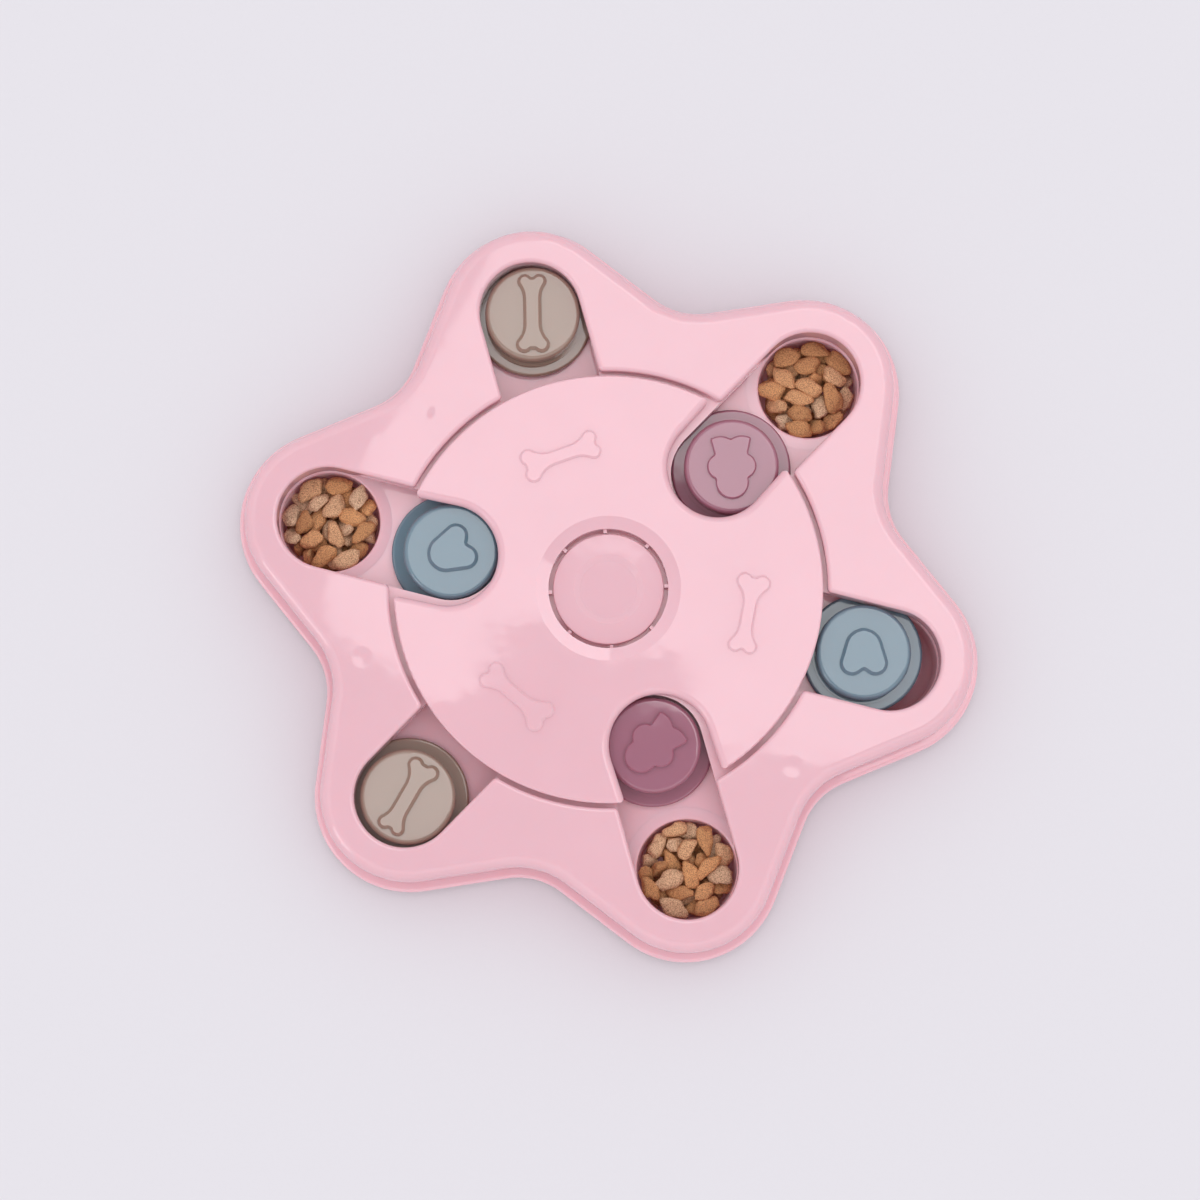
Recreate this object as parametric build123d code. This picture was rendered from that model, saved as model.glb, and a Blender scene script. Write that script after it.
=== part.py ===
from build123d import *
import math
import os

# Treat puzzle for dogs: a six-lobed case with a food cup in every lobe, six round sliders that
# cover and uncover the cups, and a notched disc that turns over the inner ends of the slots.
# Millimetres, +Z up, origin on the floor under the hub. Lobe 1 points along +X and the others
# follow counter-clockwise.

# ---- plan view ----
LOBE_CENTRE_R = 95.7        # hub to the centre of a lobe's round end
LOBE_R = 29.3               # round end of a lobe, outside of the top shell
VALLEY_R = 96.7             # hub to the outline between two lobes
VALLEY_ARC_R = 26.7         # hollow arc of the outline there
LIP_OUT = 3.0               # base lip stands out past the shell's wall
WALL = 2.2                  # side walls of shell and base
SHELL_FIT = 0.3             # base spigot inside the shell's wall

# ---- heights ----
FLOOR_GAP = 1.5             # case above the floor, the height of the foot pads
LEDGE_TOP = 11.4            # ledge of the base that carries the shell
DECK_TOP = 16.0             # floor that the sliders run on
DECK_T = 2.0
SHELL_TOP_T = 2.2
DISC_PROUD = 0.2            # disc above the shell's top
SHELL_EDGE_R = 4.0          # soft outer edge of the shell's top
LIP_EDGE_R = 1.2            # edges of the base lip
RIB_DEPTH = 4.0             # ribs under the deck
RIB_T = 2.0

# ---- sliders ----
CUP_SHIFT = 1.3             # cup, and slider pushed fully out, beyond the lobe's centre
INNER_R = 54.4              # hub to a slider pulled fully in
FLANGE_OVERLAP = 3.2        # flange wider than the slot all round
FLANGE_T = 3.0
FLANGE_EDGE_R = 0.9
COLLAR_OUT = 1.05           # low step on the flange, wider than the turning cap that it carries
COLLAR_H = 0.7
SPIGOT_R = 8.0              # pin of the slider base that the cap turns on
SPIGOT_H = 3.6
CAP_R = 15.95
CAP_H = 6.7                 # collar to the cap's flat top
CAP_WALL = 2.0
CAP_EDGE_R = 1.5
TURN_FIT = 0.3              # radial gap of the cap's socket on its pin
ICON_H = 1.4                # height of the raised icons

# ---- slots in the top shell ----
SLOT_SIDE_GAP = 1.05        # play between a cap and the slot's wall
SKIRT_T = 2.0               # wall that hangs round each slot and keeps the flange down
SKIRT_GAP = 0.4             # skirt above the collar
SLOT_EDGE_R = 1.3
SLOT_CORNER_R = 1.6         # slot's corners at the round recess

# ---- food cups ----
CUP_MOUTH_R = 16.9
CUP_TAPER = 1.5             # floor smaller than the mouth
CUP_FLOOR_T = 2.0
CUP_WALL = 1.8
CUP_INNER_FILLET = 4.0
CUP_OUTER_FILLET = 3.0
CUP_RIM_R = 0.8
SEAT_GAP = 0.7              # shallow dished seat round each cup's mouth, wider than the flange
SEAT_DEPTH = 0.5
CUP_FLANGE_T = 1.0          # flange of a cup, flush in a counterbore of the deck

# ---- disc and its recess ----
DISC_R = 71.8
DISC_T = 3.0
DISC_EDGE_R = 0.6
DISC_RIM_GAP = 1.6
DISC_CLEAR = 2.0            # disc above the recess plate, the height of the bearing ring there
BEARING_R = 28.5            # middle of that ring, and its width
BEARING_W = 3.0
PLATE_T = 2.5               # recess plate under the disc
PUCK_CLEAR = 0.4            # icon of a cap under the disc
NOTCHES = 3
NOTCH_SHIFT = 0.7           # round end of a notch beyond a slider pulled fully in
NOTCH_EDGE_R = 2.4          # wide soft edge of the notches
NOTCH_TIP_R = 1.6
DISC_TURN = 2.4             # disc stands a little past the lobes at rest
FIRST_NOTCH = 60.0          # lobe that the first notch opens towards
RELIEF_CENTRE_R = 47.4      # raised bones on the disc
RELIEF_TURN = 61.5          # from a notch to the next bone
RELIEF_ACROSS = 90.0        # bones lie across the disc's radius
RELIEF_H = 1.0
RELIEF_SHAFT_W = 4.8        # slimmer than the bones of the sliders
RELIEF_BEVEL = 0.7

# ---- hub ----
BORE_R = 20.05              # bore of the disc
DISH_W = 4.25               # shallow dish round the bore
DISH_DEPTH = 0.8
JOURNAL_WALL = 2.4          # journal under the disc, in the shell's hole
JOURNAL_GAP = 0.4
LEDGE_T = 2.0               # ledge in the bore, held down by the centre cap
LEDGE_DROP = 6.7            # top of the disc to the ledge
BEARING_RIBS = 8            # ribs in the bore that centre it on the cap
BEARING_RIB_W = 1.2
HUB_CAP_RIM_GAP = 1.5       # dark ring between the cap and the bore
HUB_CAP_DROP = 3.2          # top of the disc to the cap's rim
HUB_CAP_GAP = 0.3           # cap above the ledge, and ribs off the cap
HUB_CAP_EDGE_R = 0.5
HUB_DISH_OUT_R = 11.7
HUB_DISH_IN_R = 9.5
HUB_DISH_DEPTH = 1.0
STEM_R = 14.6
STEM_GAP = 0.4              # stem inside the ledge
STEM_WALL = 2.2
HUB_RING_T = 2.0            # ring on the deck inside the stem
HUB_RING_H = 2.0
HUB_RING_GAP = 0.4
HUB_COLUMN_R = 14.0         # round wall under the deck below the hub

# ---- screws and feet ----
SCREW_INSET = 11.2          # screws in the valleys, inside the outline
BOSS_R = 4.0
SLEEVE_OUT_R = 6.0          # screw sleeves under the deck
SLEEVE_WALL = 1.8
SLEEVE_H = 6.0
SCREW_R = 1.4
SCREW_PILOT_GAP = 0.1
SCREW_PASS_GAP = 0.4
SCREW_HEAD_R = 3.1
SCREW_HEAD_H = 2.0
SCREW_HEAD_EDGE_R = 0.7
CROSS_W = 0.8
CROSS_DEPTH = 1.0
SCREW_L = 10.0
FOOT_R = 7.5
FOOT_EDGE_R = 0.5

# ---- icons: bone, heart and cat head ----
BONE_L = 26.8
BONE_SHAFT_W = 6.2
BONE_BIG_R = 2.8
BONE_BIG_W = 11.5
BONE_SMALL_R = 2.5
BONE_SMALL_W = 9.9
BONE_NECK_FILLET = 8.0
BONE_CLEFT = 1.0
BONE_CLEFT_FILLET = 0.5
BONE_BEVEL = 1.1            # sloped edge of each icon
HEART_LOBE_R = 4.15         # heights from the icon's middle, then half spans to the sides
HEART_LOBE_UP = 3.75
HEART_LOBE_SIDE = 3.95
HEART_BODY_R = 6.4
HEART_BODY_UP = -1.6
HEART_TIP_R = 4.2
HEART_TIP_UP = -3.9
HEART_CLEFT_FILLET = 0.5
HEART_BEVEL = 1.1
CAT_EAR_UP = 9.3
CAT_EAR_SIDE = 6.9
CAT_EAR_ARCH = 1.0          # top of an ear above its tip and the brow
CAT_BROW_UP = 9.1
CAT_EAR_BASE_UP = 2.1
CAT_EAR_BASE_SIDE = 5.2
CAT_CHEEK_R = 4.4
CAT_CHEEK_UP = -0.1
CAT_CHEEK_SIDE = 3.9
CAT_CHIN_R = 5.6
CAT_CHIN_UP = -5.5
CAT_CORNER_R = 0.7
CAT_BEVEL = 0.5

ROUNDING = 0.01             # corners and edges are found by place to this length

# ---- sizes that follow ----
CUP_R = LOBE_CENTRE_R + CUP_SHIFT
SLOT_R = CAP_R + SLOT_SIDE_GAP
FLANGE_R = SLOT_R + FLANGE_OVERLAP
COLLAR_R = CAP_R + COLLAR_OUT
CUP_FLOOR_R = CUP_MOUTH_R - CUP_TAPER
SEAT_R = FLANGE_R + SEAT_GAP
NOTCH_CENTRE_R = INNER_R + NOTCH_SHIFT
SCREW_CIRCLE_R = VALLEY_R - SCREW_INSET
FLANGE_TOP = DECK_TOP + FLANGE_T
COLLAR_TOP = FLANGE_TOP + COLLAR_H
SKIRT_BOTTOM = COLLAR_TOP + SKIRT_GAP
CAP_TOP = COLLAR_TOP + CAP_H
DISC_BOTTOM = CAP_TOP + ICON_H + PUCK_CLEAR
DISC_TOP = DISC_BOTTOM + DISC_T
SHELL_TOP = DISC_TOP - DISC_PROUD
PLATE_TOP = DISC_BOTTOM - DISC_CLEAR
RECESS_R = DISC_R + DISC_RIM_GAP
DISH_R = BORE_R + DISH_W
JOURNAL_R = BORE_R + JOURNAL_WALL
SHELL_HOLE_R = JOURNAL_R + JOURNAL_GAP
HUB_CAP_R = BORE_R - HUB_CAP_RIM_GAP
DISC_LEDGE_TOP = DISC_TOP - LEDGE_DROP
JOURNAL_BOTTOM = DISC_LEDGE_TOP - LEDGE_T
DECK_BOTTOM = DECK_TOP - DECK_T
LEDGE_BOTTOM = LEDGE_TOP - DECK_T
SPIGOT_OUT = -WALL - SHELL_FIT
CUP_BOTTOM = FLOOR_GAP
CUP_FLOOR = CUP_BOTTOM + CUP_FLOOR_T
MOUTH_TOP = DECK_TOP - SEAT_DEPTH

# Sliders at rest, lobe by lobe: icon, distance from the hub, how much of the play beside the cap
# is taken up, and the direction of the icon.
SLIDERS = [
    ("heart", CUP_R - 9.0, 0.6, -75.7),
    ("cat", INNER_R + 4.3, -0.6, 106.3),
    ("bone", CUP_R - 0.1, -0.7, -74.7),
    ("heart", INNER_R, 0.5, 39.3),
    ("bone", CUP_R - 0.5, 0.5, 74.5),
    ("cat", INNER_R, 0.2, 56.3),
]
LOBES = len(SLIDERS)
LOBE_STEP = 360 / LOBES


def near(value, target):
    """Whether two lengths are the same, within what the geometry rounds."""
    return abs(value - target) < ROUNDING


def polar(radius, angle):
    """Point at that radius and angle from the hub."""
    return Vector(radius * math.cos(math.radians(angle)), radius * math.sin(math.radians(angle)))


def about_valley(point):
    """The point mirrored about the middle line between lobe 1 and lobe 2."""
    return polar(point.length, LOBE_STEP - math.degrees(math.atan2(point.Y, point.X)))


def star(offset=0.0):
    """Six-lobed outline: round lobes, straight flanks and hollow valleys, offset outwards."""
    lobe = Vector(LOBE_CENTRE_R, 0)
    valley = polar(VALLEY_R + VALLEY_ARC_R, LOBE_STEP / 2)
    across = valley - lobe
    lean = math.acos((LOBE_R + VALLEY_ARC_R) / across.length)
    flank = math.degrees(math.atan2(across.Y, across.X) - lean)
    lobe_end = lobe + polar(LOBE_R + offset, flank)
    valley_end = valley - polar(VALLEY_ARC_R - offset, flank)
    tip = lobe + Vector(LOBE_R + offset, 0)
    sector = [
        ThreePointArc(Vector(lobe_end.X, -lobe_end.Y), tip, lobe_end),
        Line(lobe_end, valley_end),
        ThreePointArc(valley_end, polar(VALLEY_R + offset, LOBE_STEP / 2), about_valley(valley_end)),
        Line(about_valley(valley_end), about_valley(lobe_end)),
    ]
    return Face(Wire([Rot(0, 0, k * LOBE_STEP) * edge for k in range(LOBES) for edge in sector]))


def block(face, bottom, top):
    """Face of the XY plane as a solid between two heights."""
    return extrude(Pos(0, 0, bottom) * face, top - bottom)


def round_block(radius, bottom, top):
    """Round block about the hub's axis."""
    return block(Circle(radius), bottom, top)


def ring(outer, inner, bottom, top):
    """Round wall about the hub's axis."""
    return block(Circle(outer) - Circle(inner), bottom, top)


def round_to_lobes(shape, angle=0.0, count=LOBES):
    """Copies of a shape all round the hub."""
    return [Rot(0, 0, angle + k * 360 / count) * shape for k in range(count)]


def edges_at(shape, height):
    """Edges that lie at one height."""
    return shape.edges().filter_by_position(Axis.Z, height - ROUNDING, height + ROUNDING)


def slot(radius, inner=INNER_R, outer=CUP_R):
    """Straight slot with round ends along a lobe, between two distances from the hub."""
    return Pos((inner + outer) / 2, 0) * SlotCenterToCenter(outer - inner, 2 * radius)


# ---- icons ----
def bone_end(radius, width, reach):
    """Two knobs side by side at one end of a bone."""
    knobs = Sketch()
    for side in (-1, 1):
        knobs += Pos(reach, side * (width / 2 - radius)) * Circle(radius)
    return knobs


def bone(shaft_w=BONE_SHAFT_W):
    """Bone along X with its larger end at +X."""
    shaft_end = BONE_L / 2 - BONE_CLEFT
    shape = Rectangle(2 * shaft_end, shaft_w)
    shape += bone_end(BONE_BIG_R, BONE_BIG_W, BONE_L / 2 - BONE_BIG_R)
    shape += bone_end(BONE_SMALL_R, BONE_SMALL_W, BONE_SMALL_R - BONE_L / 2)
    necks = [v for v in shape.vertices() if near(abs(v.Y), shaft_w / 2)]
    shape = fillet(necks, BONE_NECK_FILLET)
    clefts = [v for v in shape.vertices() if near(abs(v.X), shaft_end) and abs(v.Y) < BONE_BIG_R]
    return fillet(clefts, BONE_CLEFT_FILLET)


def heart():
    """Plump heart with its cleft towards +X."""
    shape = Sketch()
    tip = Pos(HEART_TIP_UP, 0) * Circle(HEART_TIP_R)
    body = Pos(HEART_BODY_UP, 0) * Circle(HEART_BODY_R)
    for side in (-1, 1):
        lobe = Pos(HEART_LOBE_UP, side * HEART_LOBE_SIDE) * Circle(HEART_LOBE_R)
        shape += make_hull([*lobe.edges(), *body.edges(), *tip.edges()])
    return fillet([v for v in shape.vertices() if near(v.Y, 0) and v.X > 0], HEART_CLEFT_FILLET)


def cat():
    """Cat's head with its arched ears towards +X."""
    brow = Vector(CAT_BROW_UP, 0)
    outline = []
    for side in (-1, 1):
        tip = Vector(CAT_EAR_UP, side * CAT_EAR_SIDE)
        base = Vector(CAT_EAR_BASE_UP, side * CAT_EAR_BASE_SIDE)
        arch = (brow + tip) / 2 + Vector(CAT_EAR_ARCH, 0)
        outline += [ThreePointArc(brow, arch, tip), Line(tip, base), Line(base, (CAT_EAR_BASE_UP, 0))]
    ears = make_face(outline)
    cheeks = Sketch()
    for side in (-1, 1):
        cheeks += Pos(CAT_CHEEK_UP, side * CAT_CHEEK_SIDE) * Circle(CAT_CHEEK_R)
    chin = Pos(CAT_CHIN_UP, 0) * Circle(CAT_CHIN_R)
    shape = ears + make_hull(cheeks.edges()) + chin
    return fillet(shape.vertices(), CAT_CORNER_R)


ICONS = {"bone": (bone, BONE_BEVEL), "heart": (heart, HEART_BEVEL), "cat": (cat, CAT_BEVEL)}


def relief(outline, bottom, height, bevel):
    """Raised icon with a sloped edge round its flat top."""
    raised = block(outline, bottom, bottom + height)
    return chamfer(edges_at(raised, bottom + height), bevel)


# ---- case ----
def cup_body(mouth_r, floor_r, bottom, top, edge_r):
    """Round cup shape at lobe 1, narrower at its floor, with a soft edge there."""
    body = Pos(CUP_R, 0, (bottom + top) / 2) * Cone(floor_r, mouth_r, top - bottom)
    return fillet(edges_at(body, bottom), edge_r)


def seat_ring():
    """Shallow dish round a cup's mouth, for cutting."""
    return Pos(CUP_R, 0, DECK_TOP - SEAT_DEPTH / 2) * Cone(CUP_MOUTH_R, SEAT_R, SEAT_DEPTH)


def deck_ribs():
    """Hub column, radial ribs and screw sleeves under the deck."""
    reach = Pos(SCREW_CIRCLE_R / 2, 0) * Rectangle(SCREW_CIRCLE_R, RIB_T)
    sleeve = Pos(SCREW_CIRCLE_R, 0) * Circle(SLEEVE_OUT_R)
    ribs = round_block(HUB_COLUMN_R, DECK_BOTTOM - RIB_DEPTH, DECK_BOTTOM)
    for shape in round_to_lobes(reach, LOBE_STEP / 2):
        ribs += block(shape, DECK_BOTTOM - RIB_DEPTH, DECK_BOTTOM)
    for shape in round_to_lobes(sleeve, LOBE_STEP / 2):
        ribs += block(shape, DECK_BOTTOM - SLEEVE_H, DECK_BOTTOM)
    return ribs


def screw_passages():
    """Room for the screws and their heads in the base, for cutting."""
    cuts = round_block(SCREW_R + SCREW_PASS_GAP, DECK_BOTTOM, DECK_TOP)
    cuts += round_block(HUB_COLUMN_R - WALL, DECK_BOTTOM - RIB_DEPTH, DECK_BOTTOM)
    shank = Pos(SCREW_CIRCLE_R, 0) * Circle(SCREW_R + SCREW_PASS_GAP)
    head = Pos(SCREW_CIRCLE_R, 0) * Circle(SLEEVE_OUT_R - SLEEVE_WALL)
    for k in range(LOBES):
        turn = Rot(0, 0, k * LOBE_STEP + LOBE_STEP / 2)
        cuts += block(turn * shank, DECK_BOTTOM, DECK_TOP)
        cuts += block(turn * head, DECK_BOTTOM - SLEEVE_H, DECK_BOTTOM)
    return cuts


def cup_seat():
    """Room that lobe 1's cup takes in the deck, with the counterbore for its flange."""
    drop = block(Pos(CUP_R, 0) * Circle(CUP_MOUTH_R + CUP_WALL), CUP_BOTTOM, DECK_TOP)
    return drop + block(Pos(CUP_R, 0) * Circle(SEAT_R), DECK_TOP - CUP_FLANGE_T, DECK_TOP)


def lower_case():
    """Lip and outer wall, ledge, deck and the six food cups, before the cups are parted off."""
    tray = block(star(LIP_OUT), FLOOR_GAP, LEDGE_TOP)
    tray = fillet(edges_at(tray, LEDGE_TOP) + edges_at(tray, FLOOR_GAP), LIP_EDGE_R)
    tray += block(star(SPIGOT_OUT), LEDGE_TOP, DECK_TOP)
    tray -= block(star(LIP_OUT - WALL), FLOOR_GAP, LEDGE_BOTTOM)
    tray -= block(star(SPIGOT_OUT - WALL), LEDGE_BOTTOM, DECK_BOTTOM)
    tray += deck_ribs()
    wide, narrow = CUP_MOUTH_R + CUP_WALL, CUP_FLOOR_R + CUP_WALL
    tray += round_to_lobes(cup_body(wide, narrow, CUP_BOTTOM, DECK_BOTTOM, CUP_OUTER_FILLET))
    inner = cup_body(CUP_MOUTH_R, CUP_FLOOR_R, CUP_FLOOR, MOUTH_TOP, CUP_INNER_FILLET)
    tray -= round_to_lobes(inner)
    tray -= round_to_lobes(seat_ring())
    rims = [e for e in edges_at(tray, MOUTH_TOP) if near(e.radius, CUP_MOUTH_R)]
    tray = fillet(rims, CUP_RIM_R)
    ring_out = STEM_R - STEM_WALL - HUB_RING_GAP
    tray += ring(ring_out, ring_out - HUB_RING_T, DECK_TOP, DECK_TOP + HUB_RING_H)
    return tray - screw_passages()


def recess_outline():
    """Round recess for the disc, opening into the six slots with soft corners."""
    shape = Circle(RECESS_R)
    for open_slot in round_to_lobes(slot(SLOT_R)):
        shape += open_slot
    corners = [v for v in shape.vertices() if near(math.hypot(v.X, v.Y), RECESS_R)]
    return fillet(corners, SLOT_CORNER_R)


def top_shell():
    """Upper moulding: star-shaped cover with slots, skirts and recess plate with its bearing ring."""
    shell = block(star(), LEDGE_TOP, SHELL_TOP)
    shell = fillet(edges_at(shell, SHELL_TOP), SHELL_EDGE_R)
    shell -= block(star(-WALL), LEDGE_TOP, SHELL_TOP - SHELL_TOP_T)
    shell += round_block(RECESS_R + SKIRT_T, PLATE_TOP - PLATE_T, SHELL_TOP)
    shell += [block(s, SKIRT_BOTTOM, SHELL_TOP) for s in round_to_lobes(slot(SLOT_R + SKIRT_T))]
    shell -= [block(s, SKIRT_BOTTOM, SHELL_TOP) for s in round_to_lobes(slot(SLOT_R))]
    shell -= block(recess_outline(), PLATE_TOP, SHELL_TOP)
    shell += ring(BEARING_R + BEARING_W / 2, BEARING_R - BEARING_W / 2, PLATE_TOP, DISC_BOTTOM)
    mouth = shell.faces().sort_by(Axis.Z).last.inner_wires()
    shell = fillet([e for wire in mouth for e in wire.edges()], SLOT_EDGE_R)
    shell -= round_block(SHELL_HOLE_R, PLATE_TOP - PLATE_T, PLATE_TOP)
    boss = Pos(SCREW_CIRCLE_R, 0) * (Circle(BOSS_R) - Circle(SCREW_R + SCREW_PILOT_GAP))
    shell += [block(b, DECK_TOP, SHELL_TOP - SHELL_TOP_T) for b in round_to_lobes(boss, LOBE_STEP / 2)]
    return shell


# ---- disc and hub ----
def disc_plate():
    """Round plate with three open notches, its notches' top edges much softer than its rim."""
    rim = round_block(DISC_R, DISC_BOTTOM, DISC_TOP)
    rim = fillet(edges_at(rim, DISC_TOP), DISC_EDGE_R)
    far = 2 * DISC_R
    notched = round_block(far, DISC_BOTTOM, DISC_TOP)
    outline = Circle(DISC_R)
    for notch in round_to_lobes(slot(SLOT_R, NOTCH_CENTRE_R, far), count=NOTCHES):
        notched -= block(notch, DISC_BOTTOM, DISC_TOP)
        outline -= notch
    notched = fillet(edges_at(notched, DISC_TOP), NOTCH_EDGE_R)
    tips = [v for v in outline.vertices() if near(math.hypot(v.X, v.Y), DISC_R)]
    return block(fillet(tips, NOTCH_TIP_R), DISC_BOTTOM, DISC_TOP) & rim & notched


def selector_disc():
    """Disc that turns over the slots, with its journal, ledge, bearing ribs and raised bones."""
    plate = disc_plate()
    plate += round_block(JOURNAL_R, JOURNAL_BOTTOM, DISC_BOTTOM)
    plate -= round_block(BORE_R, DISC_LEDGE_TOP, DISC_TOP)
    plate -= round_block(STEM_R + STEM_GAP, JOURNAL_BOTTOM, DISC_LEDGE_TOP)
    plate -= Pos(0, 0, DISC_TOP - DISH_DEPTH / 2) * Cone(BORE_R, DISH_R, DISH_DEPTH)
    rib_in = HUB_CAP_R + HUB_CAP_GAP
    rib = Pos((BORE_R + rib_in) / 2, 0) * Rectangle(BORE_R - rib_in, BEARING_RIB_W)
    ribs = round_to_lobes(rib, count=BEARING_RIBS)
    plate += [block(r, DISC_LEDGE_TOP, DISC_TOP - HUB_CAP_DROP) for r in ribs]
    outline = Rot(0, 0, RELIEF_ACROSS) * bone(RELIEF_SHAFT_W)
    bones = relief(outline, DISC_TOP, RELIEF_H, RELIEF_BEVEL)
    plate += round_to_lobes(Pos(RELIEF_CENTRE_R, 0) * bones, RELIEF_TURN, NOTCHES)
    return Rot(0, 0, FIRST_NOTCH + DISC_TURN) * plate


def centre_cap():
    """Round cap with a dished top and a hollow stem, screwed to the base, that keeps the disc down."""
    top = DISC_TOP - HUB_CAP_DROP
    under = DISC_LEDGE_TOP + HUB_CAP_GAP
    cap = round_block(HUB_CAP_R, under, top)
    cap = fillet(edges_at(cap, top), HUB_CAP_EDGE_R)
    cap -= Pos(0, 0, top - HUB_DISH_DEPTH / 2) * Cone(HUB_DISH_IN_R, HUB_DISH_OUT_R, HUB_DISH_DEPTH)
    cap += ring(STEM_R, STEM_R - STEM_WALL, DECK_TOP, under)
    return cap + ring(BOSS_R, SCREW_R + SCREW_PILOT_GAP, DECK_TOP, under)


# ---- sliders ----
def slider_base():
    """Flanged base of a slider on the hub's axis, with the pin that its cap turns on."""
    base = round_block(FLANGE_R, DECK_TOP, FLANGE_TOP)
    base = fillet(edges_at(base, FLANGE_TOP), FLANGE_EDGE_R)
    base += round_block(COLLAR_R, FLANGE_TOP, COLLAR_TOP)
    return base + round_block(SPIGOT_R, COLLAR_TOP, COLLAR_TOP + SPIGOT_H)


def slider_cap(icon, angle):
    """Turning cap of a slider on the hub's axis, hollow, with a socket and a raised icon."""
    cap = round_block(CAP_R, COLLAR_TOP, CAP_TOP)
    cap = fillet(edges_at(cap, CAP_TOP), CAP_EDGE_R)
    cap -= round_block(CAP_R - CAP_WALL, COLLAR_TOP, CAP_TOP - CAP_WALL)
    socket = SPIGOT_R + TURN_FIT
    cap += ring(socket + CAP_WALL, socket, COLLAR_TOP, CAP_TOP - CAP_WALL)
    outline, bevel = ICONS[icon]
    return cap + relief(Rot(0, 0, angle) * outline(), CAP_TOP, ICON_H, bevel)


# ---- fasteners and feet ----
def screw():
    """Pan-head screw pointing up, its head under the deck."""
    head = round_block(SCREW_HEAD_R, DECK_BOTTOM - SCREW_HEAD_H, DECK_BOTTOM)
    head = fillet(edges_at(head, DECK_BOTTOM - SCREW_HEAD_H), SCREW_HEAD_EDGE_R)
    cross = Pos(0, 0, DECK_BOTTOM - SCREW_HEAD_H) * Box(SCREW_HEAD_R, CROSS_W, 2 * CROSS_DEPTH)
    head -= [Rot(0, 0, angle) * cross for angle in (0, 90)]
    return head + round_block(SCREW_R, DECK_BOTTOM, DECK_BOTTOM + SCREW_L)


def foot_pad():
    """Anti-slip pad under lobe 1's cup."""
    pad = block(Pos(CUP_R, 0) * Circle(FOOT_R), 0, FLOOR_GAP)
    return fillet(edges_at(pad, 0), FOOT_EDGE_R)


def as_solids(shape):
    """A shape as a plain group of its solids."""
    solids = shape.solids()
    return solids[0] if len(solids) == 1 else Compound(children=list(solids))


def make_parts():
    """Every sub-part at rest, by name."""
    case = lower_case()
    cup = case & cup_seat()
    parts = {
        "base_tray": case - round_to_lobes(cup_seat()),
        "top_shell": top_shell(),
        "selector_disc": selector_disc(),
        "centre_cap": centre_cap(),
        "hub_screw": screw(),
        "shell_screws": Compound(children=round_to_lobes(Pos(SCREW_CIRCLE_R, 0) * screw(), LOBE_STEP / 2)),
    }
    for lobe, (icon, reach, play, angle) in enumerate(SLIDERS):
        turn = Rot(0, 0, lobe * LOBE_STEP)
        place = turn * Pos(reach, play * SLOT_SIDE_GAP)
        parts[f"food_cup_{lobe + 1}"] = turn * cup
        parts[f"foot_pad_{lobe + 1}"] = turn * foot_pad()
        parts[f"slider_base_{lobe + 1}"] = place * slider_base()
        parts[f"{icon}_cap_{lobe + 1}"] = place * slider_cap(icon, angle - lobe * LOBE_STEP)
    return parts


os.makedirs("parts", exist_ok=True)
for name, shape in make_parts().items():
    export_step(as_solids(shape), f"parts/{name}.step")
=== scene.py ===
import math

import bmesh
import bpy
import numpy as np
from mathutils import Matrix, Vector, noise


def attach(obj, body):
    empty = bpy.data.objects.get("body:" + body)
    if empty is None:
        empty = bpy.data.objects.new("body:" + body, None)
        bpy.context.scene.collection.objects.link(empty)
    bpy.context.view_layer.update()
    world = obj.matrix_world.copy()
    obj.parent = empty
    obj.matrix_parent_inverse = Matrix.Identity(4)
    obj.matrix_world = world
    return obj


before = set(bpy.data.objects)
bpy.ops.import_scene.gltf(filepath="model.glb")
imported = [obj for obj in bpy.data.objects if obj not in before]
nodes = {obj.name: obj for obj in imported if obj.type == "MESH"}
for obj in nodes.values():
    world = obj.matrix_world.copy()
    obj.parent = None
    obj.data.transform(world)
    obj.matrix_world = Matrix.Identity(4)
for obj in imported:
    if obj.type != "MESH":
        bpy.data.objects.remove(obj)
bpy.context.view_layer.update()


# ---- Base tray ----
# The lower half of the case, one injection moulding in pink ABS with a polished finish. Its lip
# shows all round under the cover, and its deck carries the sliders and the six food cups.
def linear(hexcode, share=1.0):
    """Linear colour of an sRGB hex value, or a share of its light."""
    channels = [int(hexcode[i:i + 2], 16) / 255 for i in (1, 3, 5)]
    light = [c / 12.92 if c <= 0.04045 else ((c + 0.055) / 1.055) ** 2.4 for c in channels]
    return [share * c for c in light] + [1.0]


def add(tree, kind, inputs, stops=None, **settings):
    """Adds a node with its settings. Each input is a value, or the socket that feeds it, and a
    colour ramp's stops are colours by their positions."""
    node = tree.nodes.new(kind)
    for name, value in settings.items():
        setattr(node, name, value)
    for name, value in inputs.items():
        if isinstance(value, bpy.types.NodeSocket):
            tree.links.new(value, node.inputs[name])
        else:
            node.inputs[name].default_value = value
    if stops:
        elements = node.color_ramp.elements
        while len(elements) < len(stops):
            elements.new(0.5)
        for element, (position, colour) in zip(elements, stops.items()):
            element.position = position
            element.color = colour
    return node


def new_material(name, finish):
    """Material whose shader has the finish's values all over. Gives back the material, its tree,
    the shader and the place on the piece."""
    mat = bpy.data.materials.new(name)
    mat.use_nodes = True
    tree = mat.node_tree
    tree.nodes.clear()
    shader = add(tree, "ShaderNodeBsdfPrincipled", finish)
    add(tree, "ShaderNodeOutputMaterial", {"Surface": shader.outputs["BSDF"]})
    place = add(tree, "ShaderNodeTexCoord", {}).outputs["Object"]
    return mat, tree, shader, place


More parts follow.
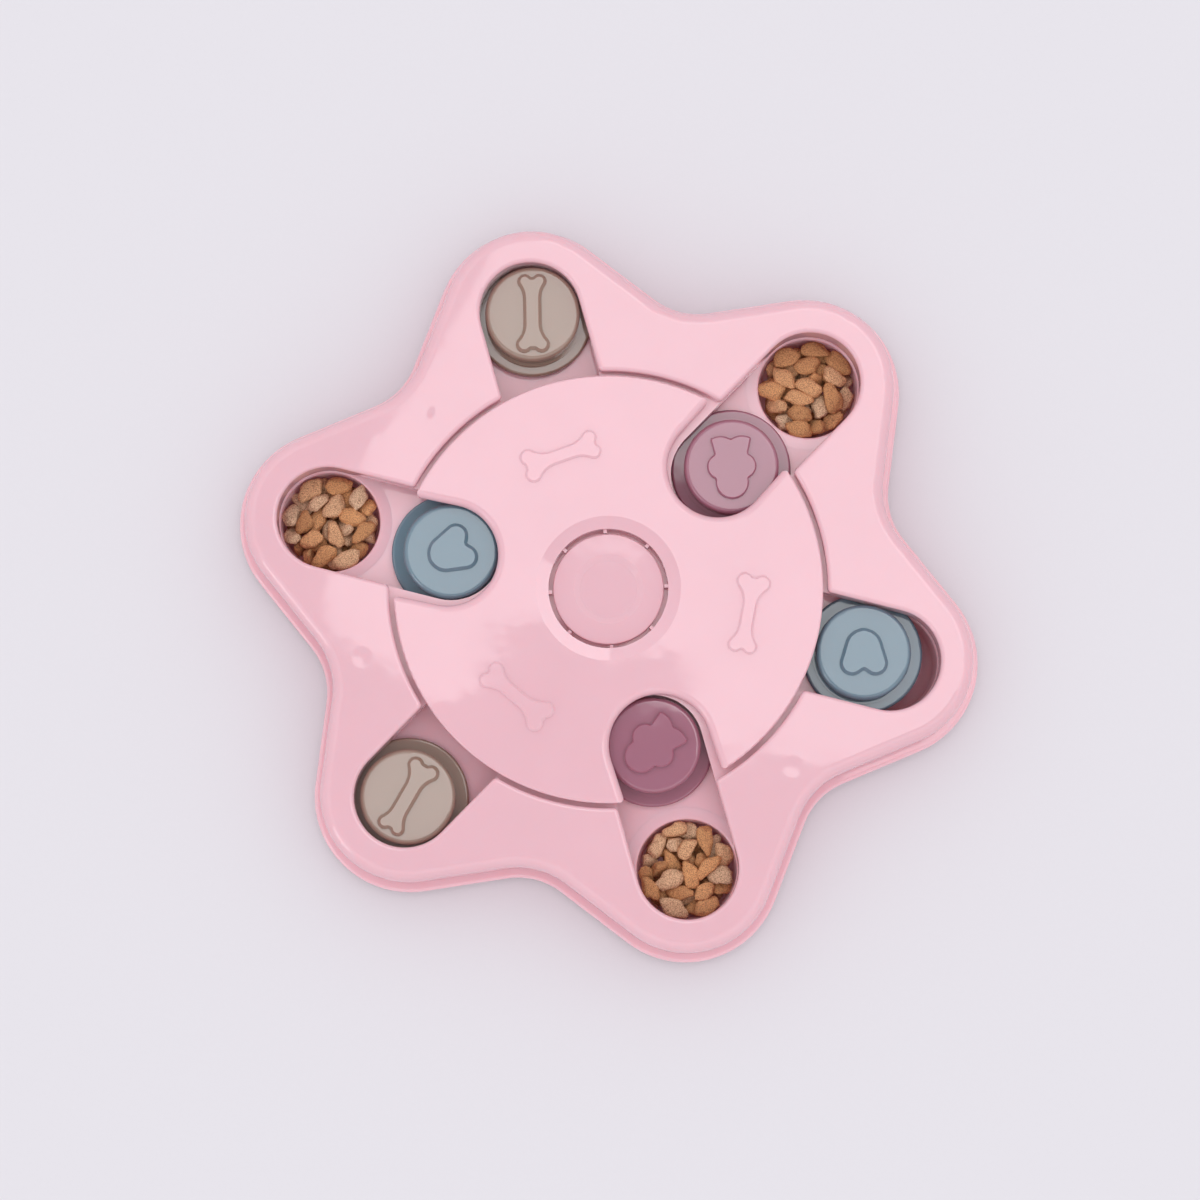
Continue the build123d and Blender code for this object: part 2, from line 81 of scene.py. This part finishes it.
ABS_IOR = 1.54
MOTTLE_SPAN = 0.030          # soft clouds in the pigment
MOTTLE = {0.3: 0.975, 0.7: 1.0}   # share of the colour at a low and a high value of the noise
GLOSS_SPAN = 0.018
GLOSS_ROUGHNESS = 0.02, 0.06
RIPPLE_SPAN = 0.007          # fine waves in the polished skin
RIPPLE_DEPTH = 0.000016
BLEED_WEIGHT = 0.3           # light that enters the pigmented plastic and leaves it again nearby
BLEED_REACH = 0.003          # how far the red part of it travels
BLEED_SHARE = 1.0, 0.3, 0.25
PAINTED_GLOW = "#F0848F"             # painted glow: faint red light that the pink parts give off themselves, standing in for light through their thin walls
PAINTED_GLOW_STRENGTH = 0.025


def moulded_abs(name, colour, warp_span, warp_depth, ior=ABS_IOR, painted_glow=PAINTED_GLOW_STRENGTH):
    """Pigmented ABS from a polished mould: an even colour that turns redder in its gaps, partly from
    light that enters the plastic and partly from a faint painted glow, and reflections with sharp
    edges that wander where the wall sank and warped as it cooled."""
    mat, tree, shader, place = new_material(name, {
        "IOR": ior,
        "Subsurface Weight": BLEED_WEIGHT,
        "Subsurface Scale": BLEED_REACH,
        "Subsurface Radius": BLEED_SHARE,
        # a painted glow: the plastic itself gives off a faint red light, which shows most in its gaps
        "Emission Color": linear(PAINTED_GLOW),
        "Emission Strength": painted_glow,
    })
    cloud = add(tree, "ShaderNodeTexNoise", {"Vector": place, "Scale": 1 / MOTTLE_SPAN, "Detail": 2.0})
    tone = add(tree, "ShaderNodeValToRGB", {"Fac": cloud.outputs[0]},
               {level: linear(colour, share) for level, share in MOTTLE.items()})
    haze = add(tree, "ShaderNodeTexNoise", {"Vector": place, "Scale": 1 / GLOSS_SPAN, "Detail": 3.0})
    rough = add(tree, "ShaderNodeMapRange", {"Value": haze.outputs[0], "To Min": GLOSS_ROUGHNESS[0],
                                             "To Max": GLOSS_ROUGHNESS[1]})
    warp = add(tree, "ShaderNodeTexNoise", {"Vector": place, "Scale": 1 / warp_span, "Detail": 0.0})
    ripple = add(tree, "ShaderNodeTexNoise", {"Vector": place, "Scale": 1 / RIPPLE_SPAN, "Detail": 1.0})
    waved = add(tree, "ShaderNodeBump", {"Height": warp.outputs[0], "Distance": warp_depth})
    rippled = add(tree, "ShaderNodeBump", {"Height": ripple.outputs[0], "Distance": RIPPLE_DEPTH,
                                           "Normal": waved.outputs["Normal"]})
    tree.links.new(tone.outputs["Color"], shader.inputs["Base Color"])
    tree.links.new(rough.outputs["Result"], shader.inputs["Roughness"])
    tree.links.new(rippled.outputs["Normal"], shader.inputs["Normal"])
    return mat


def dress(node, mat):
    """Gives a carried-over piece its material."""
    nodes[node].material_slots[0].material = mat


BASE_PINK_PAINTED_FILL = "#F0C1CA"        # paler than the cover: painted light that brightens the shaded deck, channels and cups
base_abs = moulded_abs("moulded ABS pink base", BASE_PINK_PAINTED_FILL, warp_span=0.045, warp_depth=0.0005)
dress("base_tray", base_abs)


# ---- Food cups ----
# Six round cups in the deck, of the same pink ABS as the tray, each with a shallow flange that lies
# flush in a counterbore.
LOBES = 6
for lobe in range(1, LOBES + 1):
    dress(f"food_cup_{lobe}", base_abs)


# ---- Foot pads ----
# Six round anti-slip pads, one under each food cup, punched from grey-white rubber sheet and glued
# on. They lift the case off the floor.
RUBBER = "#C9C4C6"
RUBBER_ROUGHNESS = 0.8
RUBBER_GRAIN = 0.0006
RUBBER_GRAIN_SHADE = 0.85    # darkest grain against the lightest
RUBBER_GRAIN_DEPTH = 0.00004


def rubber_sheet(name, colour):
    """Matt vulcanised rubber: no clear reflection, a fine even grain and slightly uneven grey."""
    mat, tree, shader, place = new_material(name, {"Roughness": RUBBER_ROUGHNESS})
    grain = add(tree, "ShaderNodeTexNoise", {"Vector": place, "Scale": 1 / RUBBER_GRAIN, "Detail": 2.0})
    tone = add(tree, "ShaderNodeValToRGB", {"Fac": grain.outputs[0]},
               {0.0: linear(colour, RUBBER_GRAIN_SHADE), 1.0: linear(colour)})
    bump = add(tree, "ShaderNodeBump", {"Height": grain.outputs[0], "Distance": RUBBER_GRAIN_DEPTH})
    tree.links.new(tone.outputs["Color"], shader.inputs["Base Color"])
    tree.links.new(bump.outputs["Normal"], shader.inputs["Normal"])
    return mat


pad_rubber = rubber_sheet("vulcanised rubber", RUBBER)
for lobe in range(1, LOBES + 1):
    dress(f"foot_pad_{lobe}", pad_rubber)


# ---- Dry food ----
# Baked, extruded kernels lying loose in every other cup, level with its mouth, so that a slider
# passes over them. Each is a flat, blunt chip 8 to 12 mm long with three to five sides, and porous.
FILLED_LOBES = 2, 4, 6
CUP_R = 0.097                # hub to the middle of a cup
CUP_FLOOR = 0.0037
CUP_MOUTH = 0.0158
CUP_FLOOR_R = 0.0148
CUP_MOUTH_R = 0.0168
KERNELS = 44                 # in each cup
KERNEL_HALF_W = 0.0026, 0.0034
KERNEL_HALF_L = 0.0016, 0.0024   # middle of a kernel to the middle of its end
KERNEL_FLAT = 0.62           # thickness against width
KERNEL_LEAN = 0.5            # steepest that one drops in, in radians
SETTLE_STEPS = 400
SETTLE_FALL = 0.00001        # in each step
SETTLE_PUSH = 0.35           # share of an overlap that a step takes away
CLOSE = 0.84                 # flat kernels lie nearer than round ones
TINY = 1e-9                  # keeps a division from having nothing under it


def settle(rng):
    """Ends, half widths and half lengths of kernels that have sunk into a cup at the origin.
    Each kernel is two balls a fixed length apart."""
    half_w = rng.uniform(*KERNEL_HALF_W, KERNELS)
    half_l = rng.uniform(*KERNEL_HALF_L, KERNELS)
    turn = rng.uniform(0, 2 * math.pi, KERNELS)
    lean = rng.uniform(-KERNEL_LEAN, KERNEL_LEAN, KERNELS)
    along = np.column_stack([np.cos(turn) * np.cos(lean), np.sin(turn) * np.cos(lean), np.sin(lean)])
    out = CUP_FLOOR_R * np.sqrt(rng.uniform(0, 1, KERNELS))
    spin = rng.uniform(0, 2 * math.pi, KERNELS)
    height = np.linspace(CUP_FLOOR, CUP_MOUTH, KERNELS)
    middle = np.column_stack([out * np.cos(spin), out * np.sin(spin), height])
    ball = np.concatenate([middle - along * half_l[:, None], middle + along * half_l[:, None]])
    radius = np.concatenate([half_w, half_w])
    half_t = radius * KERNEL_FLAT
    owner = np.concatenate([np.arange(KERNELS)] * 2)
    apart = CLOSE * (radius[:, None] + radius[None, :])
    apart[owner[:, None] == owner[None, :]] = 0.0
    flare = CUP_MOUTH_R - CUP_FLOOR_R
    for _ in range(SETTLE_STEPS):
        ball[:, 2] -= SETTLE_FALL
        gap = ball[:, None, :] - ball[None, :, :]
        distance = np.linalg.norm(gap, axis=2) + TINY
        push = np.maximum(apart - distance, 0.0) / distance
        ball += SETTLE_PUSH * (gap * push[:, :, None]).sum(axis=1)
        wall = CUP_FLOOR_R + flare * (ball[:, 2] - CUP_FLOOR) / (CUP_MOUTH - CUP_FLOOR)
        reach = np.hypot(ball[:, 0], ball[:, 1]) + TINY
        inside = np.minimum(1.0, (wall - CLOSE * radius) / reach)
        ball[:, :2] *= inside[:, None]
        ball[:, 2] = np.clip(ball[:, 2], CUP_FLOOR + half_t, CUP_MOUTH - half_t)
        first, second = ball[:KERNELS], ball[KERNELS:]
        middle = (first + second) / 2
        along = second - first
        along /= np.linalg.norm(along, axis=1)[:, None]
        ball = np.concatenate([middle - along * half_l[:, None], middle + along * half_l[:, None]])
    return ball[:KERNELS], ball[KERNELS:], half_w, half_l


FACE_OUT = 0.8               # flat faces of a kernel against a ball of the same size
SIDE_OUT = 0.64, 0.9         # its sides against the same ball
SIDES = 3, 5
SIDE_WANDER = 0.2            # share of the angle between two sides
SIDE_TILT = 0.35
BLUNT = 18                   # higher is sharper
ROUNDING = 0.5               # weight of the ball, which rounds the corners off
LUMP_SPAN = 0.0028
LUMP = 0.2                   # height of the lumps against the kernel's size
LUMP_FADE = 0.7              # how soon finer lumps get lower
LUMP_STEP = 2.2              # how much finer the next ones are
LUMP_OCTAVES = 3
LUMP_SHIFT = 50              # each kernel takes its lumps from another place of the noise


def kernel(bm, shade, start, end, half_w, half_l, rng):
    """One flat, blunt kernel between two points, with facets, lumps and its own shade, pressed
    down where it stands out of the mouth."""
    made = bmesh.ops.create_icosphere(bm, subdivisions=3, radius=1.0)["verts"]
    facets = [Vector((0, 0, face)) / FACE_OUT for face in (-1, 1)]
    sides = rng.integers(*SIDES, endpoint=True)
    turn = rng.uniform(0, 2 * math.pi)
    for side in range(sides):
        angle = turn + 2 * math.pi * (side + rng.uniform(-SIDE_WANDER, SIDE_WANDER)) / sides
        facet = Vector((math.cos(angle), math.sin(angle), rng.uniform(-SIDE_TILT, SIDE_TILT)))
        facets.append(facet.normalized() / rng.uniform(*SIDE_OUT))
    shift = Vector(rng.uniform(0, 1, 3)) * LUMP_SHIFT
    along = Vector(end - start).normalized()
    across = along.cross(Vector((0, 0, 1))).normalized()
    turned = Matrix((along, across, across.cross(along))).transposed()
    middle = Vector((start + end) / 2)
    tone = rng.uniform(0, 1)
    for v in made:
        way = v.co.normalized()
        pull = sum(max(0.0, way.dot(facet)) ** BLUNT for facet in facets) + ROUNDING
        chip = way * pull ** (-1 / BLUNT)
        chip = Vector((chip.x * (half_l + half_w), chip.y * half_w, chip.z * half_w * KERNEL_FLAT))
        chip *= 1 + LUMP * noise.fractal(chip / LUMP_SPAN + shift, LUMP_FADE, LUMP_STEP, LUMP_OCTAVES)
        v.co = turned @ chip + middle
        v[shade] = tone
    above = max(v.co.z for v in made) - CUP_MOUTH
    bmesh.ops.translate(bm, verts=made, vec=(0, 0, -max(0.0, above)))
    for face in {face for v in made for face in v.link_faces}:
        face.smooth = True


FOOD_DARK = "#CD9562"
FOOD_WARM = "#EEB076"
FOOD_PALE = "#F2D0AC"
FOOD_SPECKLE = "#84543A"
FOOD_ROUGHNESS = 0.85
SPECKLE_SPAN = 0.00035       # bran and pores
SPECKLE_DEPTH = 0.0002
SPECKLE_COVER = {0.32: 0.8, 0.6: 0.0}   # how strongly a speck shows, from its middle to its edge
CRUMB_SPAN = 0.0011          # where the surface crumbled
CRUMB_DEPTH = 0.0005
MIX_A, MIX_B, MIXED = 6, 7, 2   # a Mix node's sockets for colours


def baked_food(name):
    """Baked meal: matt and dry, each kernel its own brown, with dark bran specks, open pores and
    crumbled edges."""
    mat, tree, shader, place = new_material(name, {"Roughness": FOOD_ROUGHNESS})
    shade = add(tree, "ShaderNodeAttribute", {}, attribute_name="shade")
    brown = add(tree, "ShaderNodeValToRGB", {"Fac": shade.outputs["Fac"]},
                {0.0: linear(FOOD_DARK), 0.5: linear(FOOD_WARM), 1.0: linear(FOOD_PALE)})
    speck = add(tree, "ShaderNodeTexNoise", {"Vector": place, "Scale": 1 / SPECKLE_SPAN, "Detail": 3.0})
    cover = add(tree, "ShaderNodeValToRGB", {"Fac": speck.outputs[0]},
                {level: (share, share, share, 1.0) for level, share in SPECKLE_COVER.items()})
    specked = add(tree, "ShaderNodeMix", {"Factor": cover.outputs["Color"], MIX_A: brown.outputs["Color"],
                                          MIX_B: linear(FOOD_SPECKLE)}, data_type="RGBA")
    crumb = add(tree, "ShaderNodeTexNoise", {"Vector": place, "Scale": 1 / CRUMB_SPAN, "Detail": 2.0})
    crumbled = add(tree, "ShaderNodeBump", {"Height": crumb.outputs[0], "Distance": CRUMB_DEPTH})
    bump = add(tree, "ShaderNodeBump", {"Height": speck.outputs[0], "Distance": SPECKLE_DEPTH,
                                        "Normal": crumbled.outputs["Normal"]})
    tree.links.new(specked.outputs[MIXED], shader.inputs["Base Color"])
    tree.links.new(bump.outputs["Normal"], shader.inputs["Normal"])
    return mat


food = baked_food("baked extruded meal")
for lobe in FILLED_LOBES:
    rng = np.random.default_rng(lobe)
    bm = bmesh.new()
    shade = bm.verts.layers.float.new("shade")
    for start, end, half_w, half_l in zip(*settle(rng)):
        kernel(bm, shade, start, end, half_w, half_l, rng)
    angle = 2 * math.pi * (lobe - 1) / LOBES
    bmesh.ops.translate(bm, verts=bm.verts, vec=(CUP_R * math.cos(angle), CUP_R * math.sin(angle), 0))
    mesh = bpy.data.meshes.new(f"dry_food_{lobe}")
    bm.to_mesh(mesh)
    bm.free()
    mesh.materials.append(food)
    heap = bpy.data.objects.new(f"dry_food_{lobe}", mesh)
    bpy.context.collection.objects.link(heap)
    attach(heap, "housing")


# ---- Sliders ----
# Six round sliders, each a flanged base on the deck and a cap that turns on its pin, both injection
# moulded in the same coloured ABS. A raised heart, cat's head or bone gives the nose a grip.
SLIDER_IOR = 1.7             # more mirror than the case
COLOURS = {"heart": "#698391", "cat": "#A2687B", "bone": "#9C8475"}
ICONS = ["heart", "cat", "bone", "heart", "bone", "cat"]
BASE_RISES = [(0, 0), (0, 0.05), (0, -0.04), (0, 0.05), (0, 0.03), (0, 0)]   # slopes along X and Y
CAP_RISES = [(0, 0), (0, 0), (0.006, 0), (0, 0), (0, -0.045), (0, 0)]


def surface(mat):
    """Socket of a material's shader that takes its relief."""
    return next(n for n in mat.node_tree.nodes if n.type == "BSDF_PRINCIPLED").inputs["Normal"]


def lean(mat, rise):
    """Tilts a piece's reflections, as when it sits a little off level."""
    tree = mat.node_tree
    normal = surface(mat)
    place = add(tree, "ShaderNodeTexCoord", {}).outputs["Object"]
    height = add(tree, "ShaderNodeVectorMath", {0: place, 1: (*rise, 0)}, operation="DOT_PRODUCT")
    tilted = add(tree, "ShaderNodeBump", {"Height": height.outputs["Value"], "Distance": 1.0,
                                          "Normal": normal.links[0].from_socket})
    tree.links.new(tilted.outputs["Normal"], normal)


for lobe, (icon, base_rise, cap_rise) in enumerate(zip(ICONS, BASE_RISES, CAP_RISES), 1):
    for node, rise in ((f"slider_base_{lobe}", base_rise), (f"{icon}_cap_{lobe}", cap_rise)):
        slider_abs = moulded_abs(f"moulded ABS {node}", COLOURS[icon], warp_span=0.02,
                                 warp_depth=0.0001, ior=SLIDER_IOR, painted_glow=0.0)
        lean(slider_abs, rise)
        dress(node, slider_abs)


# ---- Top shell ----
# The star-shaped cover, one polished moulding in pink ABS. Its flat top is thin over the six screw
# bosses, so each of them leaves a shallow sink in the gloss.
PINK = "#E6B9C2"
SINK_R = 0.0855              # hub to a boss, in the valley between two lobes
SINK_HALF = 0.004
SINK_DEPTH = 0.00004
shell_abs = moulded_abs("moulded ABS pink cover", PINK, warp_span=0.055, warp_depth=0.0009)
tree = shell_abs.node_tree
normal = surface(shell_abs)
place = add(tree, "ShaderNodeTexCoord", {}).outputs["Object"]
flat = add(tree, "ShaderNodeVectorMath", {0: place, 1: (1, 1, 0)}, operation="MULTIPLY").outputs[0]
nearest = None
for lobe in range(LOBES):
    angle = 2 * math.pi * (lobe + 0.5) / LOBES
    boss = (SINK_R * math.cos(angle), SINK_R * math.sin(angle), 0)
    away = add(tree, "ShaderNodeVectorMath", {0: flat, 1: boss}, operation="DISTANCE").outputs["Value"]
    if nearest:
        away = add(tree, "ShaderNodeMath", {0: nearest, 1: away}, operation="MINIMUM").outputs[0]
    nearest = away
sink = add(tree, "ShaderNodeMapRange", {"Value": nearest, "From Max": SINK_HALF},
           interpolation_type="SMOOTHSTEP")
sunk = add(tree, "ShaderNodeBump", {"Height": sink.outputs["Result"], "Distance": SINK_DEPTH,
                                    "Normal": normal.links[0].from_socket})
tree.links.new(sunk.outputs["Normal"], normal)
dress("top_shell", shell_abs)


# ---- Selector disc ----
# The round disc that turns over the sliders, moulded in the same pink ABS as the cover. It cooled a
# little domed, with its rim lifted, which bends the reflections across it. The turned mould left
# faint rings round the hub.
DOME_SPAN = 0.110            # crest to crest of the dome and the lifted rim
DOME_DEPTH = 0.00025
RING_SPAN = 0.005
RING_TURNS = 1.2             # how soon a ring fades out round the hub
RING_DEPTH = 0.00001
disc_abs = moulded_abs("moulded ABS pink disc", PINK, warp_span=0.035, warp_depth=0.0003)
tree = disc_abs.node_tree
normal = surface(disc_abs)
place = add(tree, "ShaderNodeTexCoord", {}).outputs["Object"]
flat = add(tree, "ShaderNodeVectorMath", {0: place, 1: (1, 1, 0)}, operation="MULTIPLY").outputs[0]
out = add(tree, "ShaderNodeVectorMath", {0: flat}, operation="LENGTH").outputs["Value"]
phase = add(tree, "ShaderNodeMath", {0: out, 1: 2 * math.pi / DOME_SPAN}, operation="MULTIPLY").outputs[0]
wave = add(tree, "ShaderNodeMath", {0: phase}, operation="COSINE").outputs[0]
domed = add(tree, "ShaderNodeBump", {"Height": wave, "Distance": DOME_DEPTH,
                                     "Normal": normal.links[0].from_socket})
way = add(tree, "ShaderNodeVectorMath", {0: flat}, operation="NORMALIZE").outputs[0]
round_hub = add(tree, "ShaderNodeVectorMath", {0: way, "Scale": RING_TURNS}, operation="SCALE").outputs[0]
count = add(tree, "ShaderNodeMath", {0: out, 1: 1 / RING_SPAN}, operation="MULTIPLY").outputs[0]
rings = add(tree, "ShaderNodeCombineXYZ", {"Z": count}).outputs[0]
spot = add(tree, "ShaderNodeVectorMath", {0: round_hub, 1: rings}, operation="ADD").outputs[0]
turned = add(tree, "ShaderNodeTexNoise", {"Vector": spot, "Scale": 1.0, "Detail": 1.0})
ringed = add(tree, "ShaderNodeBump", {"Height": turned.outputs[0], "Distance": RING_DEPTH,
                                      "Normal": domed.outputs["Normal"]})
tree.links.new(ringed.outputs["Normal"], normal)
dress("selector_disc", disc_abs)


# ---- Centre cap ----
# The round cap with a dished top that holds the disc down, moulded in the same pink ABS and
# screwed on from below, a little off level.
CAP_RISE = 0.0, 0.03
cap_abs = moulded_abs("moulded ABS pink cap", PINK, warp_span=0.02, warp_depth=0.0001)
lean(cap_abs, CAP_RISE)
dress("centre_cap", cap_abs)


# ---- Screws ----
# Seven pan-head self-tapping screws, cold-formed from steel wire and zinc plated. They are driven
# in from below, six into the cover's bosses and one into the centre cap.
ZINC = "#C4C6C9"
PLATING_SPAN = 0.0012
PLATING_SHADE = 0.8          # darkest cloud against the lightest
PLATING_ROUGHNESS = 0.25, 0.42
PLATING_DEPTH = 0.00001


def zinc_plate(name, colour):
    """Bright zinc on steel: a grey metal with a soft, slightly clouded gloss."""
    mat, tree, shader, place = new_material(name, {"Metallic": 1.0})
    cloud = add(tree, "ShaderNodeTexNoise", {"Vector": place, "Scale": 1 / PLATING_SPAN, "Detail": 3.0})
    tone = add(tree, "ShaderNodeValToRGB", {"Fac": cloud.outputs[0]},
               {0.0: linear(colour, PLATING_SHADE), 1.0: linear(colour)})
    rough = add(tree, "ShaderNodeMapRange", {"Value": cloud.outputs[0], "To Min": PLATING_ROUGHNESS[0],
                                             "To Max": PLATING_ROUGHNESS[1]})
    bump = add(tree, "ShaderNodeBump", {"Height": cloud.outputs[0], "Distance": PLATING_DEPTH})
    tree.links.new(tone.outputs["Color"], shader.inputs["Base Color"])
    tree.links.new(rough.outputs["Result"], shader.inputs["Roughness"])
    tree.links.new(bump.outputs["Normal"], shader.inputs["Normal"])
    return mat


zinc = zinc_plate("zinc-plated steel", ZINC)
dress("hub_screw", zinc)
dress("shell_screws", zinc)


# ---- Floor ----
# The toy lies on a board painted matt pale grey, with a faint grain in the paint. It runs on far
# enough to fill every view.
BOARD = "#E1DFE3"
BOARD_HALF = 6.0
BOARD_ROUGHNESS = 0.9
BOARD_GRAIN = 0.0015
BOARD_GRAIN_SHADE = 0.985    # darkest grain against the lightest
board, tree, shader, place = new_material("matt painted board", {"Roughness": BOARD_ROUGHNESS})
grain = add(tree, "ShaderNodeTexNoise", {"Vector": place, "Scale": 1 / BOARD_GRAIN, "Detail": 2.0})
tone = add(tree, "ShaderNodeValToRGB", {"Fac": grain.outputs[0]},
           {0.0: linear(BOARD, BOARD_GRAIN_SHADE), 1.0: linear(BOARD)})
tree.links.new(tone.outputs["Color"], shader.inputs["Base Color"])
bm = bmesh.new()
bmesh.ops.create_grid(bm, x_segments=1, y_segments=1, size=BOARD_HALF)
mesh = bpy.data.meshes.new("floor")
bm.to_mesh(mesh)
bm.free()
mesh.materials.append(board)
floor = bpy.data.objects.new("floor", mesh)
bpy.context.collection.objects.link(floor)


# ---- Light ----
# One large softbox high up at one side, whose edge shows in the gloss as a line, and a smaller low
# one opposite that glints on rims. The room lights the toy evenly, most from above. In the gloss it
# is pale all round and darker right overhead, so rounded edges gleam.
SOFTBOXES = {                # middle, side and radiance
    "high softbox": ((0.326, 0.644, 1.9), 1.1, 2.4),
    "low softbox": ((-1.5, -1.6, 1.5), 0.8, 3.0),
}
for name, (middle, side, radiance) in SOFTBOXES.items():
    lamp = bpy.data.lights.new(name, "AREA")
    lamp.shape = "SQUARE"
    lamp.size = side
    lamp.energy = radiance * math.pi * side ** 2
    softbox = bpy.data.objects.new(name, lamp)
    bpy.context.collection.objects.link(softbox)
    softbox.location = middle
    softbox.visible_camera = False
    softbox.visible_diffuse = False   # only shows as a reflection
low_softbox = bpy.data.objects["low softbox"]
low_softbox.rotation_mode = "QUATERNION"
low_softbox.rotation_quaternion = low_softbox.location.to_track_quat("Z", "Y")   # faces the toy
ROOM = "#E4E3E6"
ROOM_GLOW = {0.0: 1.6, 0.25: 1.3, 0.5: 1.1, 0.75: 1.65, 0.92: 1.75, 0.955: 0.6}   # horizon to zenith
ROOM_LIGHT = {0.0: 0.8, 1.0: 1.64}
world = bpy.data.worlds.new("pale studio")
bpy.context.scene.world = world
world.use_nodes = True
tree = world.node_tree
way = add(tree, "ShaderNodeTexCoord", {}).outputs["Generated"]
height = add(tree, "ShaderNodeSeparateXYZ", {"Vector": way}).outputs["Z"]
glow = add(tree, "ShaderNodeValToRGB", {"Fac": height},
           {up: linear(ROOM, strength) for up, strength in ROOM_GLOW.items()})
light = add(tree, "ShaderNodeValToRGB", {"Fac": height},
            {up: linear(ROOM, strength) for up, strength in ROOM_LIGHT.items()})
matt = add(tree, "ShaderNodeLightPath", {}).outputs["Is Diffuse Ray"]
room = add(tree, "ShaderNodeMix", {"Factor": matt, MIX_A: glow.outputs["Color"],
                                   MIX_B: light.outputs["Color"]}, data_type="RGBA")
tree.links.new(room.outputs[MIXED], tree.nodes["Background"].inputs["Color"])


# ---- Camera ----
# Stands almost straight above the toy, a little in front of it, and far off with a long lens, so
# that the toy's height hardly shows.
CAMERA_AWAY = 1.4
CAMERA_LENS = 123.0
CAMERA_AZIMUTH = math.radians(14.26)
CAMERA_ELEVATION = math.radians(84.61)
CAMERA_AIM = Vector((-0.002454, -0.001714, 0.0))
back = Vector((
    math.sin(CAMERA_AZIMUTH) * math.cos(CAMERA_ELEVATION),
    -math.cos(CAMERA_AZIMUTH) * math.cos(CAMERA_ELEVATION),
    math.sin(CAMERA_ELEVATION),
))
lens = bpy.data.cameras.new("camera")
lens.lens = CAMERA_LENS
camera = bpy.data.objects.new("camera", lens)
bpy.context.collection.objects.link(camera)
camera.location = CAMERA_AIM + back * CAMERA_AWAY
camera.rotation_mode = "QUATERNION"
camera.rotation_quaternion = (-back).to_track_quat("-Z", "Y")
bpy.context.scene.camera = camera

bpy.context.scene.view_settings.view_transform = "Standard"
